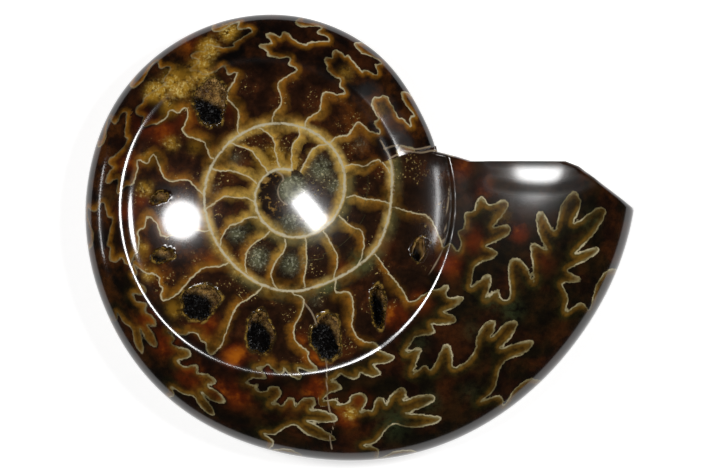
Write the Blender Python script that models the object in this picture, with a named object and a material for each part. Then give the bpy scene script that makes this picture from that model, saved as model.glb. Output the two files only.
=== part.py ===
"""Polished ammonite with a round dish ground into one flank.

One solid fossil, and a crust of crystals in each hollow that the dish has opened.
The coil's axis is upright. Angles go round the coil in degrees, counted with its growth:
0 is +X, 90 is +Y, and the sawn end of the outer whorl lies at 376.5, over the angle 16.5.
"""
import math

import bmesh
import bpy
import numpy as np
from mathutils import Matrix, Vector

MM = 0.001

# Outer whorl: radius of its outer edge at angles round the coil
EDGE_ANGLES = (16.5, 30, 60, 90, 120, 150, 180, 210, 240, 270, 300, 330, 356.7, 376.5)
EDGE_RADII_MM = (35.5, 35.6, 38.2, 40.8, 43.1, 45.5, 47.6, 51.1, 56.6, 62.1, 69.4, 75.5, 80.7, 82.5)
GROWTH_PER_TURN = EDGE_RADII_MM[-1] / EDGE_RADII_MM[0]
END_ANGLE = EDGE_ANGLES[0]

# Whorl section: half its width over the edge radius, and places along the radius as fractions of it
HALF_WIDTH = 0.2
HALF_WIDTH_AT_END = 0.172
THINNING_FROM = 300.0
SEAM = 0.22
SHOULDER = 0.28
CREST = 0.36
WALL_FOOT = 0.42
SHOULDER_HEIGHT = 0.97
TURNS_INSIDE = 2

# Sawn end, seen from above: corners of the cut from the outer edge in to the older whorl
CUT_CORNERS_MM = ((80.6, -4.4), (67.2, 5.3), (64.0, 6.5), (42.2, 6.5), (38.6, 7.6), (34.3, 8.7), (34.0, 10.05))
CUT_EDGE_ROUND = 1.6 * MM

# Dish: part of a sphere, its rim rounded over
DISH_CENTRE = Vector((-5.7, -3.2)) * MM
DISH_FLOOR = -1.0 * MM
DISH_RADIUS = 70.5 * MM
RIM_ROUND = 1.0 * MM

# Flat spot that the fossil rests on, below the coil's middle plane
FLAT_DEPTH = 13.4 * MM

# Mesh of the fossil: columns round the coil, closer together at the sawn end, and rows from pole to pole
CUT_COLUMNS = (356.6, 358.6, 0.6, 2.8, 4.6, 5.9, 7.3, 8.8, 10.4, 11.6, 12.8, 14.2, 15.4, 16.35)
PLAIN_COLUMNS = 52
STEP_WIDTH = 0.3
ROWS = 32
DISH_ROWS = 5
DISH_ROWS_TO = 24.0 * MM
UMBILICUS_ROWS = 9
UMBILICUS_ROWS_TO = 18.0 * MM

# Points that an outline is drawn with before its rows are placed, and how strongly rows gather at bends
SAMPLES = 300
BEND_SPREAD = 15
BEND_SHARE = 0.35

# Hollows in the dish: middle from the coil's axis, half length, half breadth, depth, turn of the long side
HOLLOWS_MM = (
    ((-18.4, 20.4), 5.7, 4.0, 5.2, 84),
    ((-20.8, -26.2), 4.9, 4.2, 6.5, 35),
    ((-6.9, -33.4), 5.2, 3.4, 7.0, 95),
    ((8.6, -34.2), 5.7, 3.7, 7.0, 93),
    ((20.6, -27.0), 5.5, 1.9, 6.0, 92),
    ((-30.3, -1.8), 2.2, 1.4, 3.0, 20),
    ((-29.6, -15.4), 2.9, 1.8, 3.2, 10),
    ((30.0, -14.0), 3.2, 1.5, 3.6, 80),
)
LARGE_HOLLOWS = 4
MOUTH_LEVEL = 0.3
CRUST_GAP = 0.35 * MM
CRUST_SINK = 0.5 * MM
CRYSTAL_ROOT = 0.7 * MM
CRYSTAL_TIP = (0.5 * MM, 1.1 * MM)


def clear_scene():
    for old in list(bpy.data.objects):
        bpy.data.objects.remove(old, do_unlink=True)


def new_collection(name):
    collection = bpy.data.collections.new(name)
    bpy.context.scene.collection.children.link(collection)
    return collection


def polished_material(name, colour, roughness):
    material = bpy.data.materials.new(name)
    material.use_nodes = True
    shader = material.node_tree.nodes["Principled BSDF"]
    shader.inputs["Base Color"].default_value = (*colour, 1.0)
    shader.inputs["Roughness"].default_value = roughness
    shader.inputs["Metallic"].default_value = 0.0
    return material


def smooth_curve(x, xs, ys):
    """Smooth curve through the points xs, ys, with each point's slope taken from its neighbours."""
    xs = np.asarray(xs, float)
    ys = np.asarray(ys, float)
    slope = np.gradient(ys, xs)
    i = np.clip(np.searchsorted(xs, x, side="right") - 1, 0, len(xs) - 2)
    h = xs[i + 1] - xs[i]
    t = (x - xs[i]) / h
    start = (2 * t**3 - 3 * t**2 + 1) * ys[i] + (t**3 - 2 * t**2 + t) * h * slope[i]
    end = (3 * t**2 - 2 * t**3) * ys[i + 1] + (t**3 - t**2) * h * slope[i + 1]
    return start + end


def turns_back(angle):
    """How many whole turns an angle lies before the outermost one."""
    return np.maximum(np.ceil((END_ANGLE - np.asarray(angle, float)) / 360.0), 0)


def edge_radius(angle):
    """Radius of the whorl's outer edge, smaller by the same factor for each turn inward."""
    back = turns_back(angle)
    radius = smooth_curve(angle + 360.0 * back, EDGE_ANGLES, EDGE_RADII_MM) * MM
    return radius / GROWTH_PER_TURN**back


def half_width(angle):
    """Half the whorl's width, which grows more slowly near the sawn end."""
    outer = angle + 360.0 * turns_back(angle)
    share = np.interp(outer, (THINNING_FROM, EDGE_ANGLES[-1]), (HALF_WIDTH, HALF_WIDTH_AT_END))
    return share * edge_radius(angle)


def section(q):
    """Height of the whorl section at the fraction q of its radius, 1 at the crest."""
    outward = np.clip((q - CREST) / (1 - CREST), 0, 1)
    flank = np.sqrt(1 - outward**2)
    climb = np.clip((q - SEAM) / (SHOULDER - SEAM), 0, 1)
    wall = WALL_FOOT + (SHOULDER_HEIGHT - WALL_FOOT) * climb**2 * (3 - 2 * climb)
    inward = np.clip((CREST - q) / (CREST - SHOULDER), 0, 1)
    shoulder = 1 - (1 - SHOULDER_HEIGHT) * inward**2
    return np.where(q >= CREST, flank, np.where(q < SHOULDER, wall, shoulder))


def flank_height(radius, angle):
    """Height of the uncut flank over the middle plane, with the older whorls showing in the umbilicus."""
    height = half_width(angle) * section(np.clip(radius / edge_radius(angle), 0, 1))
    for turn in range(1, TURNS_INSIDE + 1):
        older = angle - 360.0 * turn
        covered = SEAM * edge_radius(older + 360.0)
        inner = half_width(older) * section(np.clip(radius / edge_radius(older), 0, 1))
        height = np.where(radius < covered, inner, height)
    return height


def cut_radius(angle):
    """Distance from the coil's axis to the sawn end along an angle, or None where the whorl is whole."""
    angle = (angle + 180.0) % 360.0 - 180.0
    for start, end in zip(CUT_CORNERS_MM, CUT_CORNERS_MM[1:]):
        first = math.degrees(math.atan2(start[1], start[0]))
        last = math.degrees(math.atan2(end[1], end[0]))
        if first <= angle < last:
            normal = Vector((end[1] - start[1], start[0] - end[0])).normalized()
            ray = Vector((math.cos(math.radians(angle)), math.sin(math.radians(angle))))
            return normal.dot(Vector(start)) / normal.dot(ray) * MM
    return None


def dish_height(x, y):
    """Height of the dish's sphere over the middle plane."""
    away = (x - DISH_CENTRE.x) ** 2 + (y - DISH_CENTRE.y) ** 2
    return DISH_FLOOR + DISH_RADIUS - np.sqrt(np.maximum(DISH_RADIUS**2 - away, 0))


def lower_of(a, b, blend):
    """The lower of two heights, with the corner between them rounded."""
    mix = np.clip(0.5 + 0.5 * (b - a) / blend, 0, 1)
    return b * (1 - mix) + a * mix - blend * mix * (1 - mix)


def reach_of(angle):
    """How far the fossil reaches from the coil's axis: to the whorl's outer edge or the sawn end."""
    whole = float(edge_radius(angle))
    cut = cut_radius(angle)
    return min(whole, cut) if cut else whole


def heights(radius, angle):
    """Heights of the top and of the underside at radii along one angle, the cut edges rounded."""
    reach = reach_of(angle)
    flank = flank_height(radius, np.full(len(radius), float(angle)))
    turn = math.radians(angle)
    dish = dish_height(radius * math.cos(turn), radius * math.sin(turn))
    end_height = float(flank_height(np.array([reach]), np.array([float(angle)]))[0])
    into_round = np.clip(radius - (reach - CUT_EDGE_ROUND), 0, CUT_EDGE_ROUND)
    fall = CUT_EDGE_ROUND - np.sqrt(CUT_EDGE_ROUND**2 - into_round**2)
    fall *= min(1.0, end_height / CUT_EDGE_ROUND)
    top = lower_of(flank, dish, 2 * RIM_ROUND)
    return top - np.minimum(fall, np.maximum(top, 0)), fall - flank


def outline(angle):
    """Upright half section at one angle, as one row of points from the top's middle to the underside's.

    The rows near both middles have the same radii at every angle, and the rest gather at the bends.
    """
    inner = np.linspace(0, DISH_ROWS_TO, DISH_ROWS + 1)
    under_inner = np.linspace(UMBILICUS_ROWS_TO, 0, UMBILICUS_ROWS + 1)
    reach = reach_of(angle)
    out = DISH_ROWS_TO + (reach - DISH_ROWS_TO) * np.sin(np.linspace(0, math.pi / 2, SAMPLES))
    back = UMBILICUS_ROWS_TO + (reach - UMBILICUS_ROWS_TO) * np.cos(np.linspace(0, math.pi / 2, SAMPLES))
    top = heights(out, angle)[0]
    under = heights(back, angle)[1]
    wall = np.linspace(top[-1], under[0], SAMPLES)[1:-1]
    r = np.concatenate([out, np.full(len(wall), reach), back])
    z = np.concatenate([top, wall, under])
    side_r, side_z = spaced_rows(r, z, ROWS - DISH_ROWS - UMBILICUS_ROWS)
    top_inner = heights(inner, angle)[0]
    last = heights(under_inner, angle)[1]
    return (
        np.concatenate([inner[:-1], side_r, under_inner[1:]]),
        np.concatenate([top_inner[:-1], side_z, last[1:]]),
    )


def spaced_rows(r, z, rows):
    """Points along an outline that gather where it bends."""
    length = np.concatenate([[0], np.cumsum(np.hypot(np.diff(r), np.diff(z)))])
    even = np.linspace(0, length[-1], 4 * SAMPLES)
    r = np.interp(even, length, r)
    z = np.interp(even, length, z)
    heading = np.unwrap(np.arctan2(np.diff(z), np.diff(r)))
    window = np.ones(BEND_SPREAD) / BEND_SPREAD
    bend = np.convolve(np.abs(np.diff(heading, prepend=heading[0])), window, mode="same")
    weight = 1 / len(even) + BEND_SHARE * bend / math.pi
    place = np.concatenate([[0], np.cumsum(weight)])
    at = np.interp(np.linspace(0, place[-1], rows + 1), place, even)
    return np.interp(at, even, r), np.interp(at, even, z)


def column_angles():
    """Angles of the mesh columns, from the sawn end's inner corner once round the coil."""
    plain = np.linspace(END_ANGLE + STEP_WIDTH / 2, CUT_COLUMNS[0] - 3.4, PLAIN_COLUMNS)
    cut = [angle if angle > 180 else angle + 360 for angle in CUT_COLUMNS]
    return np.concatenate([plain, cut])


def fossil_mesh():
    """A sphere whose rows and columns are moved onto the coil's outlines."""
    angles = column_angles()
    sections = [outline(angle) for angle in angles]
    floor = float(dish_height(0.0, 0.0))
    bm = bmesh.new()
    bmesh.ops.create_uvsphere(bm, u_segments=len(angles), v_segments=ROWS, radius=1.0)
    for vert in bm.verts:
        row = round(math.acos(max(-1.0, min(1.0, vert.co.z))) / math.pi * ROWS)
        column = round(math.atan2(vert.co.y, vert.co.x) / math.tau * len(angles)) % len(angles)
        r, z = sections[column]
        turn = math.radians(angles[column])
        vert.co = Vector((r[row] * math.cos(turn), r[row] * math.sin(turn), z[row]))
        if row == 0:
            vert.co = Vector((0, 0, floor))
        elif row == ROWS:
            vert.co = Vector((0, 0, np.mean([part[1][-1] for part in sections])))
    bmesh.ops.triangulate(bm, faces=bm.faces[:])
    mesh = bpy.data.meshes.new("fossil")
    bm.to_mesh(mesh)
    bm.free()
    return mesh


def hollow_frame(middle):
    """Place of a hollow's mouth: +Z square to the dish's surface, and +X over the coil's +X."""
    x, y = middle[0] * MM, middle[1] * MM
    z = float(dish_height(x, y))
    out = Vector((DISH_CENTRE.x - x, DISH_CENTRE.y - y, DISH_FLOOR + DISH_RADIUS - z)).normalized()
    across = Vector((0, 1, 0)).cross(out).normalized()
    frame = Matrix((across, out.cross(across), out)).transposed().to_4x4()
    return Matrix.Translation((x, y, z)) @ frame


def hollow_shape(hollow, shrink, fineness):
    """Egg-shaped hollow as a triangle mesh, its mouth on the dish at the local height 0."""
    middle, long_side, short_side, depth, turn = hollow
    reach = depth * MM / (1 + MOUTH_LEVEL)
    size = Vector((long_side * MM - shrink, short_side * MM - shrink, reach - shrink))
    bm = bmesh.new()
    bmesh.ops.create_icosphere(bm, subdivisions=fineness, radius=1.0)
    place = Matrix.Rotation(math.radians(turn), 4, "Z") @ Matrix.Diagonal((*size, 1.0))
    bmesh.ops.transform(bm, matrix=Matrix.Translation((0, 0, -MOUTH_LEVEL * reach)) @ place, verts=bm.verts)
    return bm


def hollow_cutter(name, hollow, fineness, collection):
    bm = hollow_shape(hollow, 0.0, fineness)
    bmesh.ops.transform(bm, matrix=hollow_frame(hollow[0]), verts=bm.verts)
    return add_cutter(name, bm, collection)


def add_cutter(name, bm, collection):
    mesh = bpy.data.meshes.new(name)
    bm.to_mesh(mesh)
    bm.free()
    cutter = bpy.data.objects.new(name, mesh)
    cutter.hide_render = True
    cutter.display_type = "WIRE"
    collection.objects.link(cutter)
    return cutter


def flat_cutter(collection):
    """Block whose top face grinds the flat spot."""
    side = 2.5 * max(EDGE_RADII_MM) * MM
    bm = bmesh.new()
    bmesh.ops.create_cube(bm, size=side)
    bmesh.ops.translate(bm, vec=(0, 0, -FLAT_DEPTH - side / 2), verts=bm.verts)
    return add_cutter("flat_cutter", bm, collection)


def crystal_crust(name, hollow, fineness, material, collection, seed):
    """Crust that lines a hollow: a plain back, and pointed crystals towards the opening."""
    rng = np.random.default_rng(seed)
    bm = hollow_shape(hollow, CRUST_GAP, fineness)
    geometry = bm.verts[:] + bm.edges[:] + bm.faces[:]
    bmesh.ops.bisect_plane(
        bm, geom=geometry, plane_co=(0, 0, -CRUST_SINK), plane_no=(0, 0, 1), clear_outer=True
    )
    root = min(CRYSTAL_ROOT, 0.35 * hollow[2] * MM)
    shell = bmesh.ops.solidify(bm, geom=bm.verts[:] + bm.edges[:] + bm.faces[:], thickness=root)["geom"]
    front = [item for item in shell if isinstance(item, bmesh.types.BMFace)]
    middle = Vector((0, 0, -0.45 * hollow[3] * MM))
    for tip in bmesh.ops.poke(bm, faces=front)["verts"]:
        inward = (middle - tip.co).normalized()
        tip.co += inward * min(rng.uniform(*CRYSTAL_TIP), 0.35 * hollow[2] * MM)
    bmesh.ops.recalc_face_normals(bm, faces=bm.faces[:])
    bmesh.ops.triangulate(bm, faces=bm.faces[:])
    bmesh.ops.transform(bm, matrix=hollow_frame(hollow[0]), verts=bm.verts)
    mesh = bpy.data.meshes.new(name)
    bm.to_mesh(mesh)
    bm.free()
    mesh.materials.append(material)
    crust = bpy.data.objects.new(name, mesh)
    collection.objects.link(crust)
    return crust


def subtract(body, cutter):
    boolean = body.modifiers.new(cutter.name, "BOOLEAN")
    boolean.operation = "DIFFERENCE"
    boolean.solver = "EXACT"
    boolean.object = cutter


def build():
    clear_scene()
    parts = new_collection("polished_ammonite_dish")
    cutters = new_collection("cutters")
    stone = polished_material("polished_agate", (0.095, 0.035, 0.012), 0.12)
    calcite = polished_material("calcite_crystals", (0.2, 0.13, 0.045), 0.3)

    mesh = fossil_mesh()
    mesh.materials.append(stone)
    body = bpy.data.objects.new("ammonite_dish", mesh)
    parts.objects.link(body)
    subtract(body, flat_cutter(cutters))

    pieces = [body]
    for number, hollow in enumerate(HOLLOWS_MM):
        fineness = 3 if number < LARGE_HOLLOWS else 2
        subtract(body, hollow_cutter(f"hollow_cutter_{number + 1}", hollow, fineness, cutters))
        name = f"crystal_crust_{number + 1}"
        pieces.append(crystal_crust(name, hollow, fineness, calcite, parts, number))

    # The origin is on the flat spot's level, under the middle of the outline
    corners = [vert.co for vert in mesh.vertices]
    middle_x = (min(c.x for c in corners) + max(c.x for c in corners)) / 2
    middle_y = (min(c.y for c in corners) + max(c.y for c in corners)) / 2
    stand = bpy.data.objects.new("coil_axis", None)
    stand.location = (-middle_x, -middle_y, FLAT_DEPTH)
    parts.objects.link(stand)
    for piece in pieces + list(cutters.objects):
        piece.parent = stand


build()
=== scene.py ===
# %% [markdown]
# # A polished ammonite with a round dish ground into one flank
# A fossil shell, filled with calcite and agate, cut off at its mouth and polished all over. The
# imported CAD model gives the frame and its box. The script reads nothing else, so the lengths that
# the CAD part was built from are written again below.

# %% Load the measured frame
import math

import bmesh
import bpy
import numpy as np
from mathutils import Matrix, Vector


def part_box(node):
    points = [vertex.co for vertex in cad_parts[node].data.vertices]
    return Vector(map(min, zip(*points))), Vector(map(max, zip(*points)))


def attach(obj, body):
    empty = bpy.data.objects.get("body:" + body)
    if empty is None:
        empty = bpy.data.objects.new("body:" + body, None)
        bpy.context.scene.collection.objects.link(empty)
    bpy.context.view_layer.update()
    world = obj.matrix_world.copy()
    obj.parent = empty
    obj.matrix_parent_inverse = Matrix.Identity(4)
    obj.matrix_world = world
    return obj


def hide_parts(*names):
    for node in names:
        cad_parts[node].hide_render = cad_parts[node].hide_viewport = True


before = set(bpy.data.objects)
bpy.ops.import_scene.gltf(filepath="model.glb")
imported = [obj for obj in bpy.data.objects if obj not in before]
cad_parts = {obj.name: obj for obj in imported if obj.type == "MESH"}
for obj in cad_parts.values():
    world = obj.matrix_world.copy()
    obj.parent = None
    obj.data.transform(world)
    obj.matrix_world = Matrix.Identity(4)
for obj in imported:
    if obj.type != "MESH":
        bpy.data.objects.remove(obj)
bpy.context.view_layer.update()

MM = 0.001
PHOTO_STEP = 0.2344 * MM
FAR = 20 * MM

# %% [markdown]
# ## The coil
# An ammonite grows along a spiral: each turn repeats the last one, larger by the same factor.
# So one outline and one growth factor give every whorl. Angles run along the coil, in degrees.

# %% Outline of the coil
EDGE_ANGLES = (16.5, 30, 60, 90, 120, 150, 180, 210, 240, 270, 300, 330, 356.7, 376.5)
EDGE_RADII_MM = (35.5, 35.6, 38.2, 40.8, 43.1, 45.5, 47.6, 51.1, 56.6, 62.1, 69.4, 75.5, 80.7, 82.5)
GROWTH_PER_TURN = EDGE_RADII_MM[-1] / EDGE_RADII_MM[0]
END_ANGLE = EDGE_ANGLES[0]


def smooth_curve(x, xs, ys):
    """Smooth curve through the points xs, ys."""
    xs, ys = np.asarray(xs, float), np.asarray(ys, float)
    slope = np.gradient(ys, xs)
    i = np.clip(np.searchsorted(xs, x, side="right") - 1, 0, len(xs) - 2)
    h = xs[i + 1] - xs[i]
    t = (x - xs[i]) / h
    start = (2 * t**3 - 3 * t**2 + 1) * ys[i] + (t**3 - 2 * t**2 + t) * h * slope[i]
    end = (3 * t**2 - 2 * t**3) * ys[i + 1] + (t**3 - t**2) * h * slope[i + 1]
    return start + end


def edge_radius(angle):
    """Radius of the whorl's outer edge."""
    angle = np.asarray(angle, float)
    back = np.maximum(np.ceil((END_ANGLE - angle) / 360), 0)
    return smooth_curve(angle + 360 * back, EDGE_ANGLES, EDGE_RADII_MM) * MM / GROWTH_PER_TURN**back


def flat_place(radius, angle):
    """Where a radius and an angle lead, seen from above."""
    return radius * np.cos(np.radians(angle)), radius * np.sin(np.radians(angle))


print("growth per turn", round(GROWTH_PER_TURN, 3))

# %% [markdown]
# ## The whorl, the dish and the sawn end
# Across the coil a whorl is an ellipse, with a steep wall down to the older whorl inside it.
# The dish is part of a large sphere, and its rim is rounded by polishing. The sawn end is a few
# straight cuts. Near the axis the whorls are low, so a web of stone is kept under the dish.

# %% Section of the whorl
# Shares of the whorl's radius: foot of its inner wall, top of the wall, crest
SEAM, SHOULDER, CREST = 0.22, 0.28, 0.36
# Heights there, and the rise from the wall's top to the crest
WALL_FOOT, WALL_TOP, CREST_RISE = 0.42, 0.97, 0.03
# Half the thickness as a share of the radius, at two angles
HALF_WIDTHS = (300, 376.5), (0.2, 0.172)
CUT_CORNERS_MM = ((80.6, -4.4), (67.2, 5.3), (64.0, 6.5), (42.2, 6.5))
CUT_CORNERS_MM += ((38.6, 7.6), (34.3, 8.7), (34.0, 10.05))
CUT_EDGE_ROUND = 1.6 * MM
DISH_CENTRE = Vector((-5.7, -3.2, 0)) * MM
DISH_FLOOR, DISH_RADIUS, RIM_ROUND = -1.0 * MM, 70.5 * MM, 1.0 * MM
RIM_OVER_FLOOR = 11 * MM
# The rim is crisp around one direction, outside one radius
CRISP_ANGLE, CRISP_SPREAD, CRISP_FROM = 12, 58, 26 * MM
SMOOTH_WITHIN = 14 * MM
FLAT_DEPTH = 13.4 * MM
WEB_AT_AXIS = 1.2 * MM


def section(q):
    """Height of the whorl section at the fraction q of its radius, 1 at the crest."""
    flank = np.sqrt(1 - np.clip((q - CREST) / (1 - CREST), 0, 1) ** 2)
    climb = np.clip((q - SEAM) / (SHOULDER - SEAM), 0, 1)
    wall = WALL_FOOT + (WALL_TOP - WALL_FOOT) * climb**2 * (3 - 2 * climb)
    shoulder = 1 - CREST_RISE * np.clip((CREST - q) / (CREST - SHOULDER), 0, 1) ** 2
    return np.where(q >= CREST, flank, np.where(q < SHOULDER, wall, shoulder))


def whorl_height(radius, angle):
    """Height of one whorl over the middle plane."""
    outer = angle + 360 * np.maximum(np.ceil((END_ANGLE - angle) / 360), 0)
    half_width = np.interp(outer, *HALF_WIDTHS) * edge_radius(angle)
    return half_width * section(np.clip(radius / edge_radius(angle), 0, 1))


def flank_height(radius, angle):
    """Height of the uncut flank, with two older whorls showing in the umbilicus."""
    height = whorl_height(radius, angle)
    for turn in (1, 2):
        covered = SEAM * edge_radius(angle - 360 * (turn - 1))
        height = np.where(radius < covered, whorl_height(radius, angle - 360 * turn), height)
    return height


def dish_height(x, y):
    """Height of the dish's sphere over the middle plane."""
    away = (x - DISH_CENTRE.x) ** 2 + (y - DISH_CENTRE.y) ** 2
    return DISH_FLOOR + DISH_RADIUS - np.sqrt(np.maximum(DISH_RADIUS**2 - away, 0))


def within_a_turn(angle):
    """The same direction as an angle from -180 to 180."""
    return (np.asarray(angle, float) + 180) % 360 - 180


def rim_blend(angle, radius):
    """How widely the dish's rim is rounded: full on the left, crisper towards the sawn end."""
    inside = np.clip(radius / SMOOTH_WITHIN, 0.3, 1)
    crisp = np.exp(-(((within_a_turn(angle) - CRISP_ANGLE) / CRISP_SPREAD) ** 4))
    crisp = crisp * np.clip((radius - CRISP_FROM) / (6 * MM), 0, 1)
    return 2 * RIM_ROUND * (1 - 0.75 * crisp) * inside


def lower_of(a, b, blend):
    """The lower of two heights, with the corner between them rounded."""
    mix = np.clip(0.5 + 0.5 * (b - a) / blend, 0, 1)
    return b * (1 - mix) + a * mix - blend * mix * (1 - mix)


def reach(angle):
    """Distance from the coil's axis to the whorl's edge, or to the sawn end if nearer."""
    edge = edge_radius(angle)
    turn = within_a_turn(angle)
    for start, end in zip(CUT_CORNERS_MM, CUT_CORNERS_MM[1:]):
        first, last = (math.degrees(math.atan2(y, x)) for x, y in (start, end))
        normal = Vector((end[1] - start[1], start[0] - end[0])).normalized()
        ray = normal.x * np.cos(np.radians(turn)) + normal.y * np.sin(np.radians(turn))
        cut = normal.dot(Vector(start)) * MM / np.where(np.abs(ray) < 1e-6, 1e-6, ray)
        edge = np.where((turn >= first) & (turn < last), np.minimum(edge, cut), edge)
    return edge


rim_radius = math.sqrt(DISH_RADIUS**2 - (DISH_RADIUS - RIM_OVER_FLOOR) ** 2)
print("dish rim is", round(2 * rim_radius / MM), "mm across")

# %% [markdown]
# ## A fine mesh of the fossil
# The fossil is one stone, so it is one closed mesh. It starts as a UV sphere with its poles on
# the coil's axis, and each vertex is moved onto the outline at its own angle. Rows gather where
# the outline bends, as at the rim of the dish, and columns gather at the step at the sawn end.

# %% Rows and columns
COLUMNS, ROWS = 600, 160
FINE_ANGLES, FINE_ROWS, FACE_ROWS = 7201, 500, 100
# No column stands nearer to the jump at the sawn end than this angle
JUMP_GAP = 0.12
# Columns are spaced evenly along the outline, which counts only up to this radius
SPACED_TO = 70 * MM
UNDERSIDE_SHARE = 0.42
# How much a bend draws the rows together, as a length for each radian
BEND_PULL = 2.2 * MM


def column_angles():
    """Angles of the columns, closer at the step, the cut corners kept exactly."""
    fine = np.linspace(END_ANGLE + JUMP_GAP, END_ANGLE + 360 - JUMP_GAP, FINE_ANGLES)
    x, y = flat_place(np.minimum(reach(fine), SPACED_TO), fine)
    step = np.hypot(np.diff(x), np.diff(y)) + 0.0035 * MM
    near_step = np.exp(-((fine[1:] - fine[0]) / 2.0)) + np.exp(-((fine[-1] - fine[1:]) / 2.5))
    place = np.concatenate([[0], np.cumsum(step * (1 + 2.5 * near_step))])
    angles = np.interp(np.linspace(0, place[-1], COLUMNS), place, fine)
    for x, y in CUT_CORNERS_MM[1:-1]:
        corner = math.degrees(math.atan2(y, x)) + 360
        angles[np.argmin(np.abs(angles - corner))] = corner
    return angles


def outline(angle):
    """Radii, heights and the way round (0 to 1 top, 1 to 2 sawn face, 2 to 3 underside)."""
    far = float(reach(angle))
    out = far * np.sin(np.linspace(0, math.pi / 2, FINE_ROWS))
    angles = np.full(FINE_ROWS, float(angle))
    flank = flank_height(out, angles)
    into_round = np.clip(out - (far - CUT_EDGE_ROUND), 0, CUT_EDGE_ROUND)
    fall = CUT_EDGE_ROUND - np.sqrt(CUT_EDGE_ROUND**2 - into_round**2)
    fall *= min(1.0, flank[-1] / CUT_EDGE_ROUND)
    dish = dish_height(*flat_place(out, angles))
    top = lower_of(flank, dish, rim_blend(angle, out))
    top = top - np.minimum(fall, np.maximum(top, 0))
    under = np.minimum(fall - flank, dish - WEB_AT_AXIS)
    wall = np.linspace(top[-1], under[-1], FACE_ROWS)[1:-1]
    r = np.concatenate([out, np.full(len(wall), far), out[::-1]])
    z = np.concatenate([top, wall, under[::-1]])
    parts = (FINE_ROWS, len(wall), FINE_ROWS)
    way = np.concatenate([np.linspace(start, start + 1, n) for start, n in enumerate(parts)])
    step = np.hypot(np.diff(r), np.diff(z))
    heading = np.unwrap(np.arctan2(np.diff(z), np.diff(r) + 1e-12))
    bend = np.abs(np.diff(heading, prepend=heading[0]))
    bend = np.convolve(np.minimum(bend, 0.3), np.ones(9) / 9, mode="same")
    weight = step * np.where(way[1:] > 1.2, UNDERSIDE_SHARE, 1.0) + BEND_PULL * bend
    place = np.concatenate([[0], np.cumsum(weight)])
    index = np.arange(len(r))
    at = np.interp(np.linspace(0, place[-1], ROWS + 1), place, index)
    return np.interp(at, index, r), np.interp(at, index, z), np.interp(at, index, way)


angles = column_angles()
grid_r, grid_z, grid_way = (np.array(part) for part in zip(*(outline(a) for a in angles)))
grid_z[:, 0] = grid_z[:, 0].mean()
grid_z[:, -1] = grid_z[:, -1].mean()
grid_z = np.maximum(grid_z, -FLAT_DEPTH)
grid_t = np.repeat(angles[:, None], ROWS + 1, axis=1)
edge_x, edge_y = flat_place(grid_r, grid_t)
low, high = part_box("ammonite_dish")
axis_x = (low.x + high.x - edge_x.min() - edge_x.max()) / 2
axis_y = (low.y + high.y - edge_y.min() - edge_y.max()) / 2
COIL_AXIS = Vector((axis_x, axis_y, low.z + FLAT_DEPTH))
print("coil axis at", [round(v / MM, 2) for v in COIL_AXIS], "mm")

# %% [markdown]
# ## Hollows
# The dish has broken into chambers that never filled up, so eight hollows are open. Here the mesh
# is pushed down inside each mouth. Vertices close to the edge of a mouth are first moved onto it,
# so the edge stays clean. The crystals come later.

# %% Hollows in the dish
# Place of the middle, the two half lengths of the mouth, the depth, and the turn in degrees
HOLLOWS_MM = (
    ((-18.4, 20.4), 5.7, 4.0, 5.2, 84),
    ((-20.8, -26.2), 4.9, 4.2, 6.5, 35),
    ((-6.9, -33.4), 5.2, 3.4, 7.0, 95),
    ((8.6, -34.2), 5.7, 3.7, 7.0, 93),
    ((20.6, -27.0), 5.5, 1.9, 6.0, 92),
    ((-30.3, -1.8), 2.2, 1.4, 3.0, 20),
    ((-29.6, -15.4), 2.9, 1.8, 3.2, 10),
    ((30.0, -14.0), 3.2, 1.5, 3.6, 80),
)
NO_HOLLOW = 9.0


def raggedness(hollow, around):
    """How far the edge of a mouth lies out in one direction, as a share of its ellipse."""
    seed = hollow[0][0] + 2 * hollow[0][1]
    waves = (0.06, 3, 1), (0.05, 5, 2), (0.03, 9, 3)
    return 0.95 + sum(size * np.sin(times * around + shift * seed) for size, times, shift in waves)


def mouth(hollow, x, y):
    """Distance from a hollow's middle, as a share of the way to the edge of its mouth."""
    (mx, my), long_side, short_side, _, turn = hollow
    c, s = math.cos(math.radians(turn)), math.sin(math.radians(turn))
    u = ((x - mx * MM) * c + (y - my * MM) * s) / (long_side * MM)
    v = ((y - my * MM) * c - (x - mx * MM) * s) / (short_side * MM)
    return np.hypot(u, v) / raggedness(hollow, np.arctan2(v, u))


def push_hollows(x, y, z):
    """Moves the dish's vertices down inside each mouth, and cleans the edge of the mouth."""
    level = np.full(len(x), NO_HOLLOW)
    for hollow in HOLLOWS_MM:
        (mx, my), _, _, depth, _ = hollow
        share = mouth(hollow, x, y)
        snap = np.where((share > 0.9) & (share < 1.08), 1 / share, 1.0)
        x = mx * MM + (x - mx * MM) * snap
        y = my * MM + (y - my * MM) * snap
        share = np.where(snap != 1.0, 1.0, share)
        z = np.where(share < 1, z - depth * MM * np.sqrt(np.maximum(1 - share**3, 0.0)), z)
        level = np.minimum(level, share)
    return x, y, z, level


print(len(HOLLOWS_MM), "hollows, the deepest", max(h[3] for h in HOLLOWS_MM), "mm")

# %% [markdown]
# ## The partitions between the chambers
# Thin partitions (septa) close off the chambers. Deep in the dish they are cut through where they
# are smooth curves. Towards the flank their edges fold into leafy sutures. The wall between two
# whorls is a spiral line, given with its radii in steps of the photograph.

# %% Spiral wall and smooth partitions
WALL_TURNS = (-275, -250, -225, -180, -135, -90, -45, 0, 38, 60, 90, 117, 148, 180, 209, 234, 255)
WALL_TURNS += (270, 285, 297, 310, 325, 343, 356, 377)
WALL_STEPS = (19, 22, 25.5, 33.5, 41, 47, 51, 54.5, 59, 60.7, 65, 70.6, 77.8, 85, 89, 94, 99)
WALL_STEPS += (101.3, 100, 99.9, 101.4, 104, 102.2, 101.2, 104)

PARTITION_POINTS = 25
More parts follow.
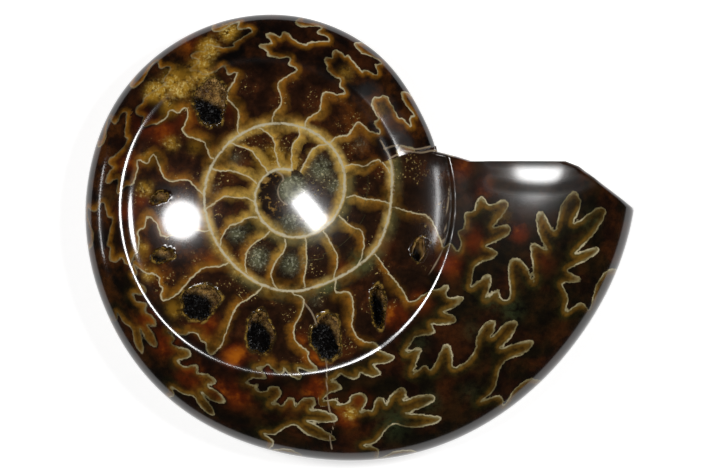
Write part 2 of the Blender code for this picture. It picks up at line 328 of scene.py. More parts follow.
# Angles of each partition at even steps from the inner wall to the outer one
SMOOTH_PARTITIONS = (
    (22, 20, 17.5, 18.5, 18, 7),
    (-10, -5, -7, -7, -7, -8),
    (-27, -30, -31, -30, -38, -48),
    (-50, -52, -53, -54, -59, -65),
    (-72, -74, -76, -78, -81, -81),
    (-98, -94, -99, -102, -102, -97),
    (-115, -119, -123, -125, -122, -116),
    (-137, -146, -147, -149, -146, -141),
    (-161, -170, -172, -174, -170, -167),
    (-189, -196, -198, -198, -195, -195),
    (-218, -222, -224, -225, -221, -218),
    (-245, -247, -249, -252, -249, -242),
    (-277, -273, -273, -274, -280, -278),
    (-300, -299, -299, -299, -303, -311),
)


def wall_radius(turn):
    """Radius of the wall between two whorls, at an angle counted along the whole spiral."""
    turn = np.clip(turn, WALL_TURNS[0], WALL_TURNS[-1])
    return smooth_curve(turn, WALL_TURNS, WALL_STEPS) * PHOTO_STEP


def smooth_partition(row):
    """Points of one partition between the inner and the outer wall, as turns and radii."""
    share = np.linspace(0, 1, PARTITION_POINTS)
    turn = smooth_curve(share, np.linspace(0, 1, len(row)), row)
    inner = wall_radius(turn)
    return turn, inner + (wall_radius(turn + 360) - inner) * share


print(len(SMOOTH_PARTITIONS), "smooth partitions")

# %% [markdown]
# ## Leafy sutures
# Each suture is drawn on the flank laid out flat. Of each pair of numbers the first runs
# along the coil and the second from the whorl's outer edge inward. Rounded fingers point forward
# to the mouth of the shell, and pointed lobes point back.

# %% Sutures drawn on the flat flank
STEP_DEGREES = 0.08925
FLANK_STEPS, FIRST_SHARE = 1126, 1.02
# The angles where the two drawn sheets start
EARLY, LATE = 5.0, 183.5
LEAF_49 = (
    490,740, 490,665, 430,580, 445,500, 430,455, 350,430, 300,380, 320,365, 370,375, 370,330, 390,325,
    450,315, 475,270, 455,240, 450,210, 430,190, 400,195, 320,200, 305,175, 255,155, 255,140, 290,125,
    285,85, 300,85, 360,105, 400,85, 390,50, 350,30, 360,0, 370,-50,
)
LEAF_76 = (
    800,760, 800,670, 750,620, 722,580, 730,530, 740,490, 725,450, 700,440, 650,425, 618,390, 625,375,
    660,370, 665,335, 680,325, 700,332, 750,315, 760,290, 785,260, 775,235, 750,225, 755,190, 745,165,
    725,165, 700,175, 690,160, 675,165, 600,200, 590,175, 540,150, 540,125, 565,105, 550,60, 580,60,
    640,90, 680,70, 670,40, 630,20, 640,0, 650,-50,
)
LEAF_104 = (
    1110,770, 1110,690, 1050,630, 1015,590, 1015,540, 1025,500, 1010,455, 950,410, 910,370, 925,355,
    955,350, 945,300, 965,295, 990,305, 1050,295, 1055,260, 1085,230, 1080,215, 1030,210, 1050,160,
    1035,145, 1000,160, 990,175, 980,140, 965,135, 945,165, 910,195, 875,200, 870,180, 790,130, 800,100,
    840,100, 825,50, 860,60, 900,80, 930,60, 910,20, 920,-50,
)
LEAF_254 = (
    790,770, 785,700, 740,640, 700,590, 695,520, 705,420, 690,345, 665,345, 650,372, 630,362, 605,375,
    575,350, 570,330, 510,275, 548,285, 548,255, 580,270, 605,292, 622,288, 622,265, 598,220, 630,225,
    650,258, 665,260, 670,235, 705,260, 733,255, 735,245, 712,215, 755,215, 782,190, 750,170, 705,175,
    750,140, 762,115, 740,110, 715,120, 690,140, 660,120, 620,110, 640,90, 630,60, 670,60, 700,50,
    690,20, 690,-50,
)
LEAF_300 = (
    1300,800, 1240,730, 1290,718, 1310,700, 1280,640, 1250,600, 1243,565, 1250,535, 1270,515, 1300,500,
    1298,470, 1325,440, 1325,425, 1295,420, 1255,428, 1265,400, 1262,385, 1235,385, 1205,415, 1203,400,
    1180,388, 1143,413, 1130,400, 1100,382, 1120,380, 1138,360, 1130,350, 1090,335, 1070,305, 1095,308,
    1115,315, 1110,290, 1145,300, 1155,320, 1185,333, 1197,310, 1190,290, 1165,253, 1190,262, 1200,255,
    1220,295, 1240,295, 1240,265, 1265,300, 1300,312, 1305,290, 1285,262, 1320,264, 1358,245, 1350,220,
    1275,215, 1300,200, 1345,155, 1325,142, 1270,160, 1240,190, 1210,170, 1180,130, 1150,120, 1180,100,
    1170,60, 1210,80, 1250,70, 1260,30, 1250,0, 1250,-50,
)
LEAF_324 = (
    1574,800, 1530,700, 1510,620, 1495,570, 1560,555, 1600,535, 1628,515, 1590,497, 1620,455, 1612,445,
    1570,455, 1545,468, 1557,430, 1540,415, 1505,445, 1490,462, 1475,432, 1425,460, 1385,440, 1365,425,
    1405,420, 1413,408, 1390,390, 1348,345, 1390,352, 1395,325, 1425,345, 1470,375, 1480,360, 1465,325,
    1447,290, 1485,280, 1525,295, 1545,318, 1590,333, 1610,310, 1570,285, 1620,280, 1640,250, 1600,235,
    1560,235, 1600,200, 1620,165, 1590,160, 1550,190, 1520,180, 1480,140, 1440,130, 1480,110, 1470,70,
    1510,90, 1550,80, 1560,30, 1550,0, 1550,-50,
)
LEAF_350 = (
    1870,800, 1856,740, 1854,690, 1790,635, 1745,600, 1768,585, 1748,550, 1785,555, 1820,580, 1835,562,
    1890,575, 1900,550, 1940,540, 1950,525, 1925,500, 1945,460, 1930,442, 1880,465, 1855,475, 1873,435,
    1850,418, 1810,460, 1795,475, 1790,438, 1775,432, 1745,465, 1720,478, 1680,460, 1660,447, 1710,432,
    1718,415, 1690,400, 1650,385, 1690,370, 1670,345, 1685,320, 1740,365, 1780,380, 1785,345, 1745,280,
    1810,325, 1838,335, 1828,280, 1860,320, 1905,343, 1920,330, 1875,275, 1935,270, 1972,235, 1945,208,
    1900,222, 1925,175, 1940,145, 1930,122, 1880,150, 1835,190, 1857,130, 1845,120, 1797,193, 1788,145,
    1778,143, 1765,190, 1740,150, 1710,130, 1740,100, 1730,60, 1780,80, 1820,60, 1820,0, 1820,-50,
)


def leaf(points, sheet, shift, stretch=1.0):
    """A drawing turned into angles along the coil and fractions of the edge radius."""
    x, y = np.reshape(points, (-1, 2)).T
    middle = x[0]
    turn = sheet + STEP_DEGREES * (middle + (x - middle) * stretch) + shift
    return turn, FIRST_SHARE - y / FLANK_STEPS


SUTURES = (
    leaf(LEAF_49, EARLY, -26),
    leaf(LEAF_49, EARLY, 0),
    leaf(LEAF_76, EARLY, 0),
    leaf(LEAF_104, EARLY, 0),
    leaf(LEAF_104, EARLY, 28),
    leaf(LEAF_76, EARLY, 81.5),
    leaf(LEAF_104, EARLY, 79.5),
    leaf(LEAF_76, EARLY, 130, 0.95),
    leaf(LEAF_254, LATE, -23.5),
    leaf(LEAF_254, LATE, 0),
    leaf(LEAF_300, LATE, -23, 0.95),
    leaf(LEAF_300, LATE, 0),
    leaf(LEAF_324, LATE, 0),
    leaf(LEAF_350, LATE, 0),
)
print(len(SUTURES), "leafy sutures")

# %% [markdown]
# ## Lines on the curved stone
# A suture follows the flank, the edge and the mirrored underside. So each drawing gets a second
# coordinate that runs evenly round the whorl, and is lifted onto the stone as a line in space.

# %% From drawings to lines in space
ROUND_EDGE = CREST + (1 - CREST) * math.pi / 2
UNDER_STRETCH = 1.25
# Small corrections that bring the drawings onto the outline
FIT_TURNS = (20, 90, 180, 210, 290, 330, 360)
FIT_SHARE = (1.01, 0.994, 1.014, 1.03, 1.03, 1.015, 1.0)


def round_whorl(q):
    """Way round the whorl from the axis to its outer edge, for a fraction of the edge radius."""
    bulge = np.arcsin(np.clip((q - CREST) / (1 - CREST), 0, 1))
    return np.where(q > CREST, CREST + (1 - CREST) * bulge, q)


def smoothed(points, steps=4):
    """A curve through the points with its corners eased."""
    points = np.asarray(points, float)
    p = np.vstack([2 * points[0] - points[1], points, 2 * points[-1] - points[-2]])
    t = np.linspace(0, 1, steps, endpoint=False)[:, None]
    parts = []
    for a, b, c, d in zip(p, p[1:], p[2:], p[3:]):
        parts.append(b + 0.5 * t * (c - a + t * (2 * a - 5 * b + 4 * c - d + t * (3 * (b - c) + d - a))))
    return np.vstack(parts + [p[-2:-1]])


def whole_suture(turn, share):
    """One suture from the inner wall over the flank, the outer edge and the underside."""
    share = share * np.interp(turn, FIT_TURNS, FIT_SHARE)
    top = np.column_stack([turn, np.minimum(round_whorl(share), ROUND_EDGE)])
    x, y = np.reshape(LEAF_300, (-1, 2)).T
    under_turn = turn[-1] + STEP_DEGREES * (x - x[-1])
    under_share = FIRST_SHARE - UNDER_STRETCH * np.maximum(y, -16) / FLANK_STEPS
    under_way = 2 * ROUND_EDGE - np.minimum(round_whorl(under_share), ROUND_EDGE)
    under = np.column_stack([under_turn, under_way])
    return smoothed(np.vstack([top[:-1], under[::-1][1:]]))


def lift(turn, way):
    """Places on the stone for angles along the coil and the way round the whorl."""
    bent = np.where(way > ROUND_EDGE, 2 * ROUND_EDGE - way, way)
    bulge = CREST + (1 - CREST) * np.sin(np.clip((bent - CREST) / (1 - CREST), 0, math.pi / 2))
    radius = np.where(bent > CREST, bulge, np.maximum(bent, 0)) * edge_radius(turn)
    x, y = flat_place(radius, turn)
    flank = whorl_height(radius, turn)
    top = lower_of(flank, dish_height(x, y), rim_blend(turn, radius))
    return np.column_stack([x, y, np.where(way > ROUND_EDGE, -flank, top)])


def measure(places, turn, way, line_turn, line_way, line_places):
    """Distance of places from one line, and 1 where they lie on the line's side to the mouth."""
    near = np.full(len(places), 1.0)
    crossings = np.zeros(len(places), int)
    for i in range(len(line_turn) - 1):
        a, b = line_places[i], line_places[i + 1]
        along = b - a
        length = float(along @ along) + 1e-15
        t = np.clip((places - a) @ along / length, 0, 1)
        gap = places - a - t[:, None] * along
        near = np.minimum(near, np.einsum("ij,ij->i", gap, gap))
        w1, w2 = line_way[i], line_way[i + 1]
        if w1 != w2:
            cross = line_turn[i] + (line_turn[i + 1] - line_turn[i]) * (way - w1) / (w2 - w1)
            crossings += ((w1 > way) != (w2 > way)) & (cross < turn)
    return np.sqrt(near), crossings % 2


def measure_all(places, turn, way, lines):
    """Signed distance to the nearest of the lines, and how many lines lie behind each place."""
    signed = np.full(len(places), FAR)
    behind = np.zeros(len(places), int)
    for line_turn, line_way, line_places in lines:
        first, last = line_turn.min() - 12, line_turn.max() + 12
        close = (turn > first) & (turn < last)
        behind += turn >= last
        padded_turn = np.concatenate([line_turn[:1], line_turn, line_turn[-1:]])
        padded_way = np.concatenate([line_way[:1] - 9, line_way, line_way[-1:] + 9])
        padded = np.vstack([line_places[:1], line_places, line_places[-1:]])
        near, side = measure(places[close], turn[close], way[close], padded_turn, padded_way, padded)
        behind[close] += side
        old = signed[close]
        signed[close] = np.where(near < np.abs(old), np.where(side == 1, near, -near), old)
    return signed, behind


print("a line over one whorl has", len(whole_suture(*SUTURES[0])), "points")

# %% [markdown]
# ## From the sphere to the stone
# Each vertex of the sphere finds its row and column and takes its place from the grid. On the
# sawn face the distance to the upper and lower edge is kept too, for the band of shell there.

# %% Build the mesh
def mesh_from(bm, name):
    """A mesh with what was built in bm."""
    mesh = bpy.data.meshes.new(name)
    bm.to_mesh(mesh)
    bm.free()
    return mesh


def put_in_scene(name, data):
    """A new object in the scene that holds a mesh, a lamp or a camera."""
    thing = bpy.data.objects.new(name, data)
    bpy.context.scene.collection.objects.link(thing)
    return thing


bm = bmesh.new()
bmesh.ops.create_uvsphere(bm, u_segments=COLUMNS, v_segments=ROWS, radius=1.0)
mesh = mesh_from(bm, "ammonite")
sphere = np.empty(len(mesh.vertices) * 3, np.float32)
mesh.vertices.foreach_get("co", sphere)
sphere = sphere.reshape(-1, 3).astype(float)
row = np.rint(np.arccos(np.clip(sphere[:, 2], -1, 1)) / math.pi * ROWS).astype(int)
column = np.rint(np.arctan2(sphere[:, 1], sphere[:, 0]) / math.tau * COLUMNS).astype(int) % COLUMNS
radius, height, way_on = grid_r[column, row], grid_z[column, row], grid_way[column, row]
turn = grid_t[column, row]
x, y = flat_place(radius, turn)
on_top = way_on < 1.0
cut_depth = np.where(on_top, flank_height(radius, turn) - height, 0.0)
new_x, new_y, new_z, level = push_hollows(x, y, height)
x, y = np.where(on_top, new_x, x), np.where(on_top, new_y, y)
z = np.where(on_top, new_z, height)
level = np.where(on_top, level, NO_HOLLOW)

top_edge, under_edge = np.zeros(len(x)), np.zeros(len(x))
for at in range(COLUMNS):
    sawn_rows = (grid_way[at] > 1.0) & (grid_way[at] < 2.0)
    if sawn_rows.any():
        top_edge[column == at] = grid_z[at][sawn_rows].max()
        under_edge[column == at] = grid_z[at][sawn_rows].min()
on_face = (way_on > 1.0) & (way_on < 2.0) & (top_edge - under_edge > 2 * MM)
from_shell = np.where(on_face, np.minimum(top_edge - height, height - under_edge), 0.0)
print("vertices", len(x), "on the sawn face", int(on_face.sum()))

# %% [markdown]
# ## Measuring the pattern at each vertex
# Each vertex gets its distance from a line, the side of it, and the chamber it is in. Older
# whorls in the umbilicus are measured as the last one, scaled up.

# %% Distances and chambers
INNER_CHAMBERS_FROM = 40
share = radius / edge_radius(turn)
turns_in = (share < SEAM).astype(int) + (share < SEAM / GROWTH_PER_TURN).astype(int)
scale = GROWTH_PER_TURN ** np.where(on_top, 0, turns_in).astype(float)
share = share * scale
bent = round_whorl(share)
mix = np.clip(way_on - 1, 0, 1)
way = bent * (1 - mix) + (2 * ROUND_EDGE - bent) * mix
places = np.column_stack([x, y, height]) * scale[:, None]

outer = (way_on >= 1.0) | (radius > wall_radius(turn))
inner_turn = np.where(radius > wall_radius(turn - 360), turn - 360, turn - 720)
outer_lines = [(*line.T, lift(*line.T)) for line in (whole_suture(*drawing) for drawing in SUTURES)]
inner_lines = []
for part in SMOOTH_PARTITIONS:
    line_turn, line_radius = smooth_partition(part)
    line_x, line_y = flat_place(line_radius, line_turn)
    line_places = np.column_stack([line_x, line_y, dish_height(line_x, line_y)])
    inner_lines.append((line_turn, line_radius / MM, line_places))
seam, chamber = np.zeros(len(x)), np.zeros(len(x), int)
for part, its_turn, its_way, lines in (
    (outer, turn, way, outer_lines),
    (~outer, inner_turn, radius / MM, inner_lines),
):
    seam[part], chamber[part] = measure_all(places[part], its_turn[part], its_way[part], lines)
seam /= scale
chamber[~outer] += INNER_CHAMBERS_FROM
print("outer vertices", int(outer.sum()), "chambers", len(set(chamber.tolist())))

# %% [markdown]
# ## How narrow each leaf is
# The narrow leaves are olive and amber, and the wide chambers are dark. Odd and even chambers get
# opposite signs, blurred over the surface: in a narrow leaf the neighbour's sign wins.

# %% Blur the chambers' signs
BLUR_ROUNDS = 14
sign = np.where(chamber % 2 == 0, 1.0, -1.0)
grid_sign = np.ones((COLUMNS, ROWS + 1))
grid_sign[column, row] = sign
grid_sign[:, 0], grid_sign[:, -1] = grid_sign[:, 1].mean(), grid_sign[:, -2].mean()
blurred = grid_sign.copy()
for _ in range(BLUR_ROUNDS):
    along = (np.roll(blurred, 1, 0) + np.roll(blurred, -1, 0) + 2 * blurred) / 4
    padded = np.pad(along, ((0, 0), (1, 1)), mode="edge")
    blurred = (padded[:, :-2] + padded[:, 2:] + 2 * along) / 4
openness = sign * blurred[column, row]
print("narrow leaves cover", round(float((openness < 0.3).mean()), 2), "of the vertices")

# %% [markdown]
# ## Wall, veins and patches
# Veins and the broken ledge by the sawn end are a few more lines. In places the
# stone is orange, gold, green, grey or brown, or its polish is dull. Each kind is a list of soft
# round patches: place and radius in steps of the photograph, and strength.

# %% Wall, veins and patches
PHOTO_AXIS = (290, 190)
VEINS = (
    ((303, 301), (313, 314), (320, 335), (327, 361), (327, 378), (328, 396), (330, 409), (334, 423),
     (330, 436), (332, 448)),
    ((447.8, 188), (446, 208), (444, 228), (441, 248.5), (434, 264), (427, 277)),
    ((427.7, 217), (436, 232), (441, 248.5)),
    ((380, 141), (390, 159), (394, 175), (393, 195), (388, 220), (380, 238)),
    ((390, 159), (405, 152), (420, 154), (434, 152), (452, 158)),
    ((384, 150), (398, 146), (415, 150), (430, 147)),
    ((275, 171), (282, 175), (283, 181), (279, 187), (278, 194), (281, 201), (287, 205)),
)
PATCHES = {
    "orange": (
        165,132,14,0.8, 127,215,13,0.6, 143,200,9,0.6, 147,251,9,0.6, 167,341,14,0.9, 191,374,13,0.9,
        206,325,13,0.9, 236,354,12,1.0, 238,394,16,0.7, 316,356,13,0.7, 316,387,13,0.9, 347,415,11,1.0,
        396,316,13,0.9, 448,262,14,0.9, 517,234,9,0.8, 300,340,9,0.6, 470,240,16,0.6, 205,300,9,0.7,
        290,400,16,0.5, 540,260,14,0.4, 150,125,16,0.6, 185,125,14,0.5, 195,45,14,0.5, 130,165,13,0.5,
        230,110,12,0.4, 215,260,12,0.4, 340,270,12,0.4, 385,245,12,0.4, 420,300,13,0.6, 360,400,13,0.6,
        150,320,12,0.7, 220,390,13,0.7, 270,370,10,0.6, 460,170,13,0.5, 480,190,12,0.4,
    ),
    "gold": (
        147,189,8,0.7, 144,251,8,0.8, 175,308,8,0.9, 158,94,10,1.3, 180,84,13,1.4, 202,72,11,1.2,
        208,50,10,1.1, 230,33,9,0.9, 172,144,8,0.6, 196,147,8,0.6, 350,412,7,0.8, 170,110,9,0.8,
        150,275,7,0.6, 345,75,9,0.4, 240,270,9,0.5, 220,250,8,0.5, 270,290,9,0.5, 150,160,8,0.5,
        380,110,8,0.4, 500,215,9,0.4, 275,157,11,0.7, 260,164,8,0.5, 292,162,9,0.6, 251,130,5,0.9,
    ),
    "green": (
        395,423,16,1.0, 430,400,12,0.7, 511,310,12,0.9, 491,303,9,0.6, 360,262,12,0.8, 330,287,9,0.6,
        300,178,9,0.5, 250,225,9,0.4, 420,340,12,0.6, 470,330,12,0.5, 560,200,12,0.5, 590,220,12,0.7,
        540,180,10,0.4, 110,200,12,0.4, 470,390,12,0.5,
    ),
    "grey": (
        292,190,10,3.0, 322,170,13,0.8, 334,186,9,0.7, 290,224,13,0.9, 308,229,9,0.8, 276,224,7,0.5,
        237,234,9,0.8, 258,258,11,0.9, 290,264,10,0.9, 215,190,8,0.3, 236,160,9,0.4, 360,145,9,0.3,
        304,262,7,0.4, 315,300,9,0.3,
    ),
    "brown": (
        273,178,7,1.5, 266,187,7,1.5, 264,197,7,1.5, 268,207,8,1.4, 278,214,7,1.0,
    ),
    "dull": (
        452,185,14,1.0, 457,205,14,1.0, 455,225,14,1.0, 449,245,13,0.9, 440,262,12,0.7, 372,92,13,0.9,
        385,108,14,1.0, 396,125,14,1.0, 403,143,11,0.9,
    ),
}
DULL_STREAKS = (
    ((490, 162), (535, 162), (580, 163)),
    ((490, 184), (513, 188), (540, 190), (565, 187), (590, 180)),
)
DULL_STREAK_WIDTH = 1.9 * MM


def from_photo(px, py):
    """A place in the photograph's frame, in metres from the coil's axis."""
    across, down = np.asarray(px, float) - PHOTO_AXIS[0], PHOTO_AXIS[1] - np.asarray(py, float)
    return across * PHOTO_STEP, down * PHOTO_STEP


def near_lines(lines, x, y):
    """Distance from the nearest of some lines, seen from above."""
    near = np.full(len(x), FAR)
    for line in lines:
        px, py = from_photo(*smoothed(line, 3).T)
        for i in range(len(px) - 1):
            dx, dy = px[i + 1] - px[i], py[i + 1] - py[i]
            t = np.clip(((x - px[i]) * dx + (y - py[i]) * dy) / (dx * dx + dy * dy), 0, 1)
            near = np.minimum(near, np.hypot(x - px[i] - t * dx, y - py[i] - t * dy))
    return near


def patches(spots, x, y):
    """How strongly a place is inside the strongest of some soft round patches."""
    total = np.zeros(len(x))
    for px, py, size, strength in np.reshape(spots, (-1, 4)):
        sx, sy = from_photo(px, py)
        away = np.hypot(x - sx, y - sy) / (size * PHOTO_STEP)
        total = np.maximum(total, strength * np.exp(-(away**2)))
    return total


wall_gap = np.full(len(x), FAR)
for back in (-360, 0, 360, 720):
    spiral = turn - back
    known = (spiral <= WALL_TURNS[-1]) & (spiral > WALL_TURNS[0])
    gap = radius - wall_radius(spiral)
    wall_gap = np.where(known & (np.abs(gap) < np.abs(wall_gap)), gap, wall_gap)
wall_gap = np.where(on_top, wall_gap, FAR)
vein = np.where(on_top, near_lines(VEINS, x, y), FAR)
patch = {name: patches(spots, x, y) for name, spots in PATCHES.items()}
streaks = np.exp(-((near_lines(DULL_STREAKS, x, y) / DULL_STREAK_WIDTH) ** 2))
patch["dull"] = np.maximum(patch["dull"], streaks)
print("wall touches", int((np.abs(wall_gap) < 0.5 * MM).sum()), "vertices")

# %% [markdown]
# ## Put the stone in place
# The mesh is moved to where the CAD solid stands, and gets the attributes that the material
# reads, in millimetres.

# %% Place the fossil
MOST_CHAMBERS = 80
random = np.random.default_rng(7)
chamber_tone = random.uniform(0, 1, MOST_CHAMBERS)[np.clip(chamber, 0, MOST_CHAMBERS - 1)]
attributes = {
    "seam": seam / MM,
    "seam_near": np.abs(seam) / MM,
    "wall": wall_gap / MM,
    "wall_near": np.abs(wall_gap) / MM,
    "vein": vein / MM,
    "open": openness,
    "chamber": chamber_tone,
    "depth": cut_depth / MM,
    "hollow": level,
    **{name: strength * on_top for name, strength in patch.items()},
    "age": turn / 360,
    "core": np.exp(-((radius / (17 * MM)) ** 4)) * on_top,
    "sawn": on_face.astype(float),
    "from_shell": from_shell / MM,
}
for name, values in attributes.items():
    mesh.attributes.new(name, "FLOAT", "POINT").data.foreach_set("value", values.astype(np.float32))
moved = np.column_stack([x + COIL_AXIS.x, y + COIL_AXIS.y, z + COIL_AXIS.z])
mesh.vertices.foreach_set("co", moved.astype(np.float32).ravel())
mesh.polygons.foreach_set("use_smooth", np.ones(len(mesh.polygons), bool))
mesh.update()
ammonite = put_in_scene("ammonite", mesh)
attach(ammonite, "root")
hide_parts("ammonite_dish")
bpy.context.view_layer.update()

# %% [markdown]
# ## Tools for materials
# One helper turns an sRGB hex colour to linear light. The other adds a node and links it.

# %% Node helper and colour helper
def srgb(code):
    """An sRGB hex colour as linear RGBA."""
    parts = [int(code[i : i + 2], 16) / 255 for i in (1, 3, 5)]
    linear = [p / 12.92 if p <= 0.04045 else ((p + 0.055) / 1.055) ** 2.4 for p in parts]
    return (*linear, 1.0)


def add_node(tree, kind, inputs=None, **settings):
    """Adds a node. Each input is given a value, or a link from another node's output."""
    node = tree.nodes.new("ShaderNode" + kind)
    for name, value in settings.items():
        setattr(node, name, value)
    for socket, value in (inputs or {}).items():
        if isinstance(value, bpy.types.Node):
            value = next(out for out in value.outputs if out.enabled)
        if isinstance(value, bpy.types.NodeSocket):
            tree.links.new(value, node.inputs[socket])
        else:
            node.inputs[socket].default_value = value
    return node


def new_material(name):
    """An empty node material, and its tree."""
    material = bpy.data.materials.new(name)
    material.use_nodes = True
    material.node_tree.nodes.clear()
    return material, material.node_tree


print("cream is", [round(v, 3) for v in srgb("#cdbf95")])

# %% [markdown]
# ## Masks and layers
# A layer is a colour and a few terms, and covers what lies under it where all its terms are high.
# A term is an attribute or a noise, the two values between which it rises, and sometimes its ends.

# %% Masks and layers
def mask(tree, *terms):
    """A mask of terms multiplied together: a value, where it starts and ends, and its low and high."""
    result = None
    for value, start, end, *ends in terms:
        low, high = ends or (0.0, 1.0)
        span = {"Value": value, "From Min": start, "From Max": end, "To Min": low, "To Max": high}
        term = add_node(tree, "MapRange", span, interpolation_type="SMOOTHSTEP")
        if result:
            term = add_node(tree, "Math", {0: result, 1: term}, operation="MULTIPLY")
        result = term
    return result


def covered(tree, colour, layers):
    """A colour with layers laid over it, the last one on top."""
    for code, *terms in layers:
        layer = {0: mask(tree, *terms), 6: colour, 7: srgb(code)}
        colour = add_node(tree, "Mix", layer, data_type="RGBA")
    return colour


polished, tree = new_material("polished_agatised_shell")
print("materials", len(bpy.data.materials))

# %% [markdown]
# ## Noises and distances in the stone
# Noises from a tenth of a millimetre to a few millimetres wide make crinkles, clouds and grains.
# Pale rims lie behind a partition, so the distance from a line counts more on the mouth's side.

# %% Noises and distances
place = add_node(tree, "TexCoord").outputs["Object"]
at = {
    name: add_node(tree, "Attribute", attribute_name=name).outputs["Fac"] for name in attributes
}
noise = {
    name: add_node(tree, "TexNoise", {"Vector": place, **look}).outputs["Fac"]
    for name, look in {
        "soft": {"Scale": 60.0, "Detail": 3.0, "Distortion": 1.5},
        "cloud": {"Scale": 160.0, "Detail": 6.0, "Roughness": 0.6},
        "speck": {"Scale": 700.0, "Detail": 5.0, "Roughness": 0.65},
        "crinkle": {"Scale": 900.0, "Detail": 2.0},
        "spark": {"Scale": 1600.0, "Detail": 2.0, "Roughness": 0.7},
    }.items()
}
soft, cloud, speck, crinkle, spark = noise.values()
mouth_side = mask(tree, (at["seam"], -0.1, 0.15))
behind = {0: mouth_side, 1: 1.5, 2: at["seam_near"]}
behind = add_node(tree, "Math", behind, operation="MULTIPLY_ADD")
nearest = add_node(tree, "Math", {0: behind, 1: at["wall_near"]}, operation="MINIMUM")
ragged_edge = add_node(tree, "Math", {0: cloud, 1: 8.0, 2: -4.0}, operation="MULTIPLY_ADD")
from_line = add_node(tree, "Math", {0: nearest, 1: ragged_edge}, operation="ADD")
wander = add_node(tree, "Math", {0: crinkle, 1: 0.8, 2: -0.4}, operation="MULTIPLY_ADD")
crinkled = {}
for line in ("seam", "wall"):
    shifted = add_node(tree, "Math", {0: at[line], 1: wander}, operation="ADD")
    crinkled[line] = add_node(tree, "Math", {0: shifted}, operation="ABSOLUTE")
left_flank = mask(tree, (at["depth"], 1.6, 0.6), (at["age"], 0.25, 0.36), (at["age"], 0.7, 0.62))
print("noises", len(noise), "attributes", len(at))

# %% [markdown]
# ## Colours inside the stone
# The chambers are dark brown. In the dish the partitions have amber and gold rims, and on the
# flank the leaves are amber on the older part and olive near the mouth.

# %% Body of the stone
in_dish, on_flank = (at["depth"], 0.6, 1.6), (at["depth"], 1.6, 0.6)
late, narrow = (at["age"], 0.45, 0.75), (at["open"], 0.75, 0.2)
leaf_side = (at["seam"], 0.02, -0.12)
orange, gold, grey, brown = ((at[name], 0, 1) for name in ("orange", "gold", "grey", "brown"))
body_layers = (
    ("#3e200e", (soft, 0.38, 0.66)),
    ("#5a2e10", (cloud, 0.42, 0.66, 0, 0.9)),
    ("#74400f", (at["chamber"], 0.3, 1), (cloud, 0.4, 0.62, 0, 0.7)),
    ("#33290f", late, (soft, 0.6, 0.4, 0, 0.6)),
    ("#2a150a", in_dish, (from_line, 0.4, 2.0), (soft, 0.64, 0.47, 0.2, 0.8)),
    ("#9c661c", in_dish, (from_line, 2.6, 0.3), (soft, 0.35, 0.5, 0.4, 1), (cloud, 0.3, 0.5, 0.4, 1)),
    ("#caa03e", in_dish, (from_line, 0.8, -1), (cloud, 0.35, 0.55, 0.2, 0.9)),
    ("#e0b856", (at["core"], 0, 1), (from_line, 2.6, -0.2), (cloud, 0.3, 0.5, 0.3, 1)),
    ("#d0b266", in_dish, (at["wall_near"], 2.0, 0), (cloud, 0.3, 0.6, 0, 0.9)),
    ("#4e4c2e", in_dish, late, (at["wall"], 0.2, 0.7), (at["wall"], 3.4, 1), (cloud, 0.35, 0.5, 0.2, 0.8)),
    ("#8a500f", on_flank, leaf_side, (at["seam_near"], 3.2, 0.5), narrow, (speck, 0.25, 0.65, 0.4, 1)),
    ("#4e481b", on_flank, leaf_side, late, (at["seam_near"], 3.2, 0.5), (speck, 0.25, 0.65, 0.5, 1)),
    ("#e89a26", on_flank, leaf_side, (at["seam_near"], 1.6, 0.1), (cloud, 0.3, 0.6, 0.3, 0.9)),
    ("#80783c", on_flank, leaf_side, late, (at["seam_near"], 1.2, 0.1), (cloud, 0.3, 0.6, 0.1, 0.9)),
    ("#4a5230", (at["green"], 0, 1), (speck, 0.3, 0.55)),
    ("#6a6a4e", grey, (speck, 0.3, 0.5, 0.3, 0.95)),
    ("#b9b89c", grey, (spark, 0.52, 0.64, 0, 0.8)),
    ("#aaa98a", (at["grey"], 1, 1.8), (speck, 0.35, 0.6, 0.5, 1)),
    ("#24150a", brown),
    ("#86652f", brown, (speck, 0.52, 0.62)),
    ("#c0a868", in_dish, (spark, 0.6, 0.68), (cloud, 0.52, 0.6, 0, 0.8)),
    ("#4a3218", (at["sawn"], 0, 1, 0, 0.85)),
    ("#7c6038", (at["sawn"], 0, 1), (cloud, 0.42, 0.6)),
    ("#b09c74", (at["sawn"], 0, 1), (at["from_shell"], 1.6, 0.9)),
)
body = covered(tree, srgb("#1c1108"), body_layers)
print("body layers", len(body_layers))

# %% [markdown]
# ## Lines on top
# Murky clouds, orange and gold glows, veins and the rims of the hollows, and then the partitions
# as cream calcite lines about 0.6 mm wide.

